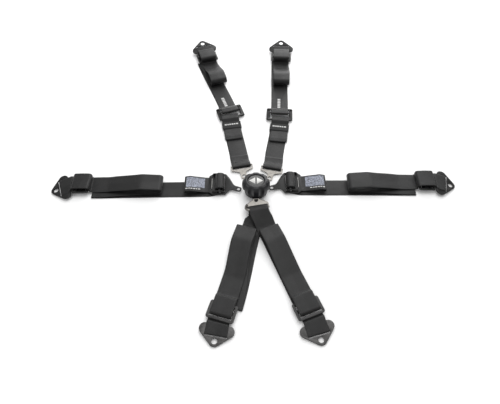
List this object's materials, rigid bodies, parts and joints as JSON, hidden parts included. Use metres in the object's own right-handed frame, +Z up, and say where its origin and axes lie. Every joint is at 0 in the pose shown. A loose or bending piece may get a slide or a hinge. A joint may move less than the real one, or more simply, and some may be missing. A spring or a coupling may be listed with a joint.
{
  "type": "racing harness",
  "caption": "Racing harness laid out flat: rotary camlock buckle, webbing belts folded up, adjusters, three-bar slides and bolt-in anchor plates.",
  "frame": {"origin": "centre of the buckle's flat back face", "axes": "+Z up from the floor the harness lies on, +Y from the buckle towards the shoulder belts, +X towards the right lap belt"},
  "size_m": [1.0735, 1.0493, 0.046],
  "materials": {
    "buckle_back_plate": "black-coated stamped steel, satin",
    "buckle_housing": "black anodised aluminium",
    "buckle_centre_post": "dull grey plated steel",
    "knob_return_spring": "dull grey plated steel",
    "crotch_lug": "black-coated stamped steel, satin",
    "bracket_rivet": "dull grey plated steel",
    "release_knob": "dark grey satin moulded plastic",
    "knob_cap_disc": "black anodised aluminium",
    "cam_plate": "dull grey plated steel",
    "latch_pin_1": "dull grey plated steel",
    "latch_pin_2": "dull grey plated steel",
    "latch_pin_3": "dull grey plated steel",
    "latch_pin_4": "dull grey plated steel",
    "tongue_shoulder_left": "bright nickel-plated forged steel",
    "strap_shoulder_left_lower": "black ribbed polyester webbing, 50.8 mm wide",
    "strap_shoulder_left_tail": "black ribbed polyester webbing, 50.8 mm wide",
    "keeper_shoulder_left": "black ribbed polyester webbing, 50.8 mm wide",
    "adjuster_frame_shoulder_left": "black-coated stamped steel, satin",
    "strap_shoulder_left_upper": "black ribbed polyester webbing, 50.8 mm wide",
    "slide_shoulder_left": "black-coated stamped steel, satin",
    "adjuster_bar_shoulder_left": "dull grey plated steel",
    "anchor_loop_shoulder_left": "black ribbed polyester webbing, 50.8 mm wide",
    "anchor_plate_shoulder_left": "black-coated stamped steel, satin",
    "tongue_shoulder_right": "bright nickel-plated forged steel",
    "strap_shoulder_right_lower": "black ribbed polyester webbing, 50.8 mm wide",
    "strap_shoulder_right_tail": "black ribbed polyester webbing, 50.8 mm wide",
    "keeper_shoulder_right": "black ribbed polyester webbing, 50.8 mm wide",
    "adjuster_frame_shoulder_right": "black-coated stamped steel, satin",
    "strap_shoulder_right_upper": "black ribbed polyester webbing, 50.8 mm wide",
    "slide_shoulder_right": "black-coated stamped steel, satin",
    "adjuster_bar_shoulder_right": "dull grey plated steel",
    "anchor_loop_shoulder_right": "black ribbed polyester webbing, 50.8 mm wide",
    "anchor_plate_shoulder_right": "black-coated stamped steel, satin",
    "tongue_lap_left": "black-coated stamped steel, satin",
    "strap_lap_left": "black ribbed polyester webbing, 50.8 mm wide",
    "label_lap_left": "woven pale label, no lettering",
    "slide_lap_left": "black-coated stamped steel, satin",
    "adjuster_bar_lap_left": "dull grey plated steel",
    "anchor_loop_lap_left": "black ribbed polyester webbing, 50.8 mm wide",
    "anchor_plate_lap_left": "black-coated stamped steel, satin",
    "tongue_lap_right": "black-coated stamped steel, satin",
    "strap_lap_right": "black ribbed polyester webbing, 50.8 mm wide",
    "label_lap_right": "woven pale label, no lettering",
    "slide_lap_right": "black-coated stamped steel, satin",
    "adjuster_bar_lap_right": "dull grey plated steel",
    "anchor_loop_lap_right": "black ribbed polyester webbing, 50.8 mm wide",
    "anchor_plate_lap_right": "black-coated stamped steel, satin",
    "crotch_bracket": "bright nickel-plated forged steel",
    "strap_crotch_left": "black ribbed polyester webbing, 50.8 mm wide",
    "slide_crotch_left": "dull grey plated steel",
    "anchor_loop_crotch_left": "black ribbed polyester webbing, 50.8 mm wide",
    "anchor_plate_crotch_left": "dull grey plated steel",
    "strap_crotch_right": "black ribbed polyester webbing, 50.8 mm wide",
    "slide_crotch_right": "dull grey plated steel",
    "anchor_loop_crotch_right": "black ribbed polyester webbing, 50.8 mm wide",
    "anchor_plate_crotch_right": "dull grey plated steel"
  },
  "bodies": {
    "buckle": {"buckle_back_plate": "buckle_back_plate", "buckle_housing": "buckle_housing", "buckle_centre_post": "buckle_centre_post", "knob_return_spring": "knob_return_spring", "crotch_lug": "crotch_lug", "bracket_rivet": "bracket_rivet"},
    "knob": {"release_knob": "release_knob", "knob_cap_disc": "knob_cap_disc", "cam_plate": "cam_plate"},
    "pin_1": {"latch_pin_1": "latch_pin_1"},
    "pin_2": {"latch_pin_2": "latch_pin_2"},
    "pin_3": {"latch_pin_3": "latch_pin_3"},
    "pin_4": {"latch_pin_4": "latch_pin_4"},
    "tongue_shoulder_left": {"tongue_shoulder_left": "tongue_shoulder_left"},
    "shoulder_lower_left": {"strap_shoulder_left_lower": "strap_shoulder_left_lower", "strap_shoulder_left_tail": "strap_shoulder_left_tail", "keeper_shoulder_left": "keeper_shoulder_left"},
    "shoulder_upper_left": {"adjuster_frame_shoulder_left": "adjuster_frame_shoulder_left", "strap_shoulder_left_upper": "strap_shoulder_left_upper", "slide_shoulder_left": "slide_shoulder_left"},
    "adjuster_bar_shoulder_left": {"adjuster_bar_shoulder_left": "adjuster_bar_shoulder_left"},
    "anchor_shoulder_left": {"anchor_loop_shoulder_left": "anchor_loop_shoulder_left", "anchor_plate_shoulder_left": "anchor_plate_shoulder_left"},
    "tongue_shoulder_right": {"tongue_shoulder_right": "tongue_shoulder_right"},
    "shoulder_lower_right": {"strap_shoulder_right_lower": "strap_shoulder_right_lower", "strap_shoulder_right_tail": "strap_shoulder_right_tail", "keeper_shoulder_right": "keeper_shoulder_right"},
    "shoulder_upper_right": {"adjuster_frame_shoulder_right": "adjuster_frame_shoulder_right", "strap_shoulder_right_upper": "strap_shoulder_right_upper", "slide_shoulder_right": "slide_shoulder_right"},
    "adjuster_bar_shoulder_right": {"adjuster_bar_shoulder_right": "adjuster_bar_shoulder_right"},
    "anchor_shoulder_right": {"anchor_loop_shoulder_right": "anchor_loop_shoulder_right", "anchor_plate_shoulder_right": "anchor_plate_shoulder_right"},
    "lap_left": {"tongue_lap_left": "tongue_lap_left", "strap_lap_left": "strap_lap_left", "label_lap_left": "label_lap_left", "slide_lap_left": "slide_lap_left"},
    "adjuster_bar_lap_left": {"adjuster_bar_lap_left": "adjuster_bar_lap_left"},
    "anchor_lap_left": {"anchor_loop_lap_left": "anchor_loop_lap_left", "anchor_plate_lap_left": "anchor_plate_lap_left"},
    "lap_right": {"tongue_lap_right": "tongue_lap_right", "strap_lap_right": "strap_lap_right", "label_lap_right": "label_lap_right", "slide_lap_right": "slide_lap_right"},
    "adjuster_bar_lap_right": {"adjuster_bar_lap_right": "adjuster_bar_lap_right"},
    "anchor_lap_right": {"anchor_loop_lap_right": "anchor_loop_lap_right", "anchor_plate_lap_right": "anchor_plate_lap_right"},
    "crotch_bracket": {"crotch_bracket": "crotch_bracket"},
    "crotch_left": {"strap_crotch_left": "strap_crotch_left", "slide_crotch_left": "slide_crotch_left"},
    "anchor_crotch_left": {"anchor_loop_crotch_left": "anchor_loop_crotch_left", "anchor_plate_crotch_left": "anchor_plate_crotch_left"},
    "crotch_right": {"strap_crotch_right": "strap_crotch_right", "slide_crotch_right": "slide_crotch_right"},
    "anchor_crotch_right": {"anchor_loop_crotch_right": "anchor_loop_crotch_right", "anchor_plate_crotch_right": "anchor_plate_crotch_right"}
  },
  "joints": [
    {"name": "knob_turn", "type": "hinge", "parent": "buckle", "child": "knob", "pos_m": [0, 0, 0], "axis": [0, 0.1392, 0.9903], "range_deg": [0, 30], "stiffness_Nm_per_rad": 0.4},
    {"name": "pin_1_lift", "type": "slide", "parent": "buckle", "child": "pin_1", "axis": [0, 0.1392, 0.9903], "range_m": [0, 0.0042]},
    {"name": "pin_2_lift", "type": "slide", "parent": "buckle", "child": "pin_2", "axis": [0, 0.1392, 0.9903], "range_m": [0, 0.0042]},
    {"name": "pin_3_lift", "type": "slide", "parent": "buckle", "child": "pin_3", "axis": [0, 0.1392, 0.9903], "range_m": [0, 0.0042]},
    {"name": "pin_4_lift", "type": "slide", "parent": "buckle", "child": "pin_4", "axis": [0, 0.1392, 0.9903], "range_m": [0, 0.0042]},
    {"name": "tongue_pull_shoulder_left", "type": "slide", "parent": "buckle", "child": "tongue_shoulder_left", "axis": [-0.2061, 0.9785, 0], "range_m": [0, 0.06]},
    {"name": "strap_fold_shoulder_left", "type": "hinge", "parent": "tongue_shoulder_left", "child": "shoulder_lower_left", "pos_m": [-0.039, 0.0865, 0.00244], "axis": [0.9785, 0.2061, 0], "range_deg": [0, 40]},
    {"name": "adjuster_tilt_shoulder_left", "type": "hinge", "parent": "shoulder_lower_left", "child": "shoulder_upper_left", "pos_m": [-0.0688, 0.27719, 0.00284], "axis": [0.9533, 0.3021, 0], "range_deg": [0, 13]},
    {"name": "bar_slide_shoulder_left", "type": "slide", "parent": "shoulder_upper_left", "child": "adjuster_bar_shoulder_left", "axis": [-0.3021, 0.9533, 0], "range_m": [0, 0.0035]},
    {"name": "anchor_tilt_shoulder_left", "type": "hinge", "parent": "shoulder_upper_left", "child": "anchor_shoulder_left", "pos_m": [-0.16259, 0.57314, 0.00624], "axis": [0.9533, 0.3021, 0], "range_deg": [-15, 45]},
    {"name": "tongue_pull_shoulder_right", "type": "slide", "parent": "buckle", "child": "tongue_shoulder_right", "axis": [0.2163, 0.9763, 0], "range_m": [0, 0.06]},
    {"name": "strap_fold_shoulder_right", "type": "hinge", "parent": "tongue_shoulder_right", "child": "shoulder_lower_right", "pos_m": [0.0445, 0.0795, 0.00244], "axis": [0.9763, -0.2163, 0], "range_deg": [0, 40]},
    {"name": "adjuster_tilt_shoulder_right", "type": "hinge", "parent": "shoulder_lower_right", "child": "shoulder_upper_right", "pos_m": [0.07112, 0.26704, 0.00284], "axis": [0.9985, -0.0543, 0], "range_deg": [0, 13]},
    {"name": "bar_slide_shoulder_right", "type": "slide", "parent": "shoulder_upper_right", "child": "adjuster_bar_shoulder_right", "axis": [0.0543, 0.9985, 0], "range_m": [0, 0.0035]},
    {"name": "anchor_tilt_shoulder_right", "type": "hinge", "parent": "shoulder_upper_right", "child": "anchor_shoulder_right", "pos_m": [0.0878, 0.57397, 0.00624], "axis": [0.9985, -0.0543, 0], "range_deg": [-15, 45]},
    {"name": "tongue_pull_lap_left", "type": "slide", "parent": "buckle", "child": "lap_left", "axis": [-1, -0.0054, 0], "range_m": [0, 0.06]},
    {"name": "bar_slide_lap_left", "type": "slide", "parent": "lap_left", "child": "adjuster_bar_lap_left", "axis": [-1, -0.0054, 0], "range_m": [0, 0.0035]},
    {"name": "anchor_tilt_lap_left", "type": "hinge", "parent": "lap_left", "child": "anchor_lap_left", "pos_m": [-0.4815, 0.0204, 0.00874], "axis": [-0.0054, 1, 0], "range_deg": [0, 50]},
    {"name": "tongue_pull_lap_right", "type": "slide", "parent": "buckle", "child": "lap_right", "axis": [1, 0.0097, 0], "range_m": [0, 0.06]},
    {"name": "bar_slide_lap_right", "type": "slide", "parent": "lap_right", "child": "adjuster_bar_lap_right", "axis": [1, 0.0097, 0], "range_m": [0, 0.0035]},
    {"name": "anchor_tilt_lap_right", "type": "hinge", "parent": "lap_right", "child": "anchor_lap_right", "pos_m": [0.4705, 0.03068, 0.00874], "axis": [0.0097, -1, 0], "range_deg": [0, 50]},
    {"name": "bracket_swivel", "type": "hinge", "parent": "buckle", "child": "crotch_bracket", "pos_m": [0, -0.03961, 0.00557], "axis": [0, 0.1392, 0.9903], "range_deg": [-12, 12]},
    {"name": "strap_fold_crotch_left", "type": "hinge", "parent": "crotch_bracket", "child": "crotch_left", "pos_m": [0.00468, -0.06118, 0.01021], "axis": [-0.9781, -0.2059, 0.0289], "range_deg": [0, 50]},
    {"name": "anchor_tilt_crotch_left", "type": "hinge", "parent": "crotch_left", "child": "anchor_crotch_left", "pos_m": [-0.08387, -0.35923, 0.00474], "axis": [-0.9586, 0.2848, 0], "range_deg": [0, 50]},
    {"name": "strap_fold_crotch_right", "type": "hinge", "parent": "crotch_left", "child": "crotch_right", "pos_m": [0.00468, -0.06118, 0.01021], "axis": [-0.9781, -0.2059, 0.0289], "range_deg": [0, 33]},
    {"name": "anchor_tilt_crotch_right", "type": "hinge", "parent": "crotch_right", "child": "anchor_crotch_right", "pos_m": [0.12195, -0.35065, 0.00474], "axis": [-0.9268, -0.3755, 0], "range_deg": [0, 50]}
  ],
  "couplings": [
    {"joint": "pin_1_lift", "follows": "knob_turn", "m_per_rad": 0.008},
    {"joint": "pin_2_lift", "follows": "knob_turn", "m_per_rad": 0.008},
    {"joint": "pin_3_lift", "follows": "knob_turn", "m_per_rad": 0.008},
    {"joint": "pin_4_lift", "follows": "knob_turn", "m_per_rad": 0.008}
  ]
}
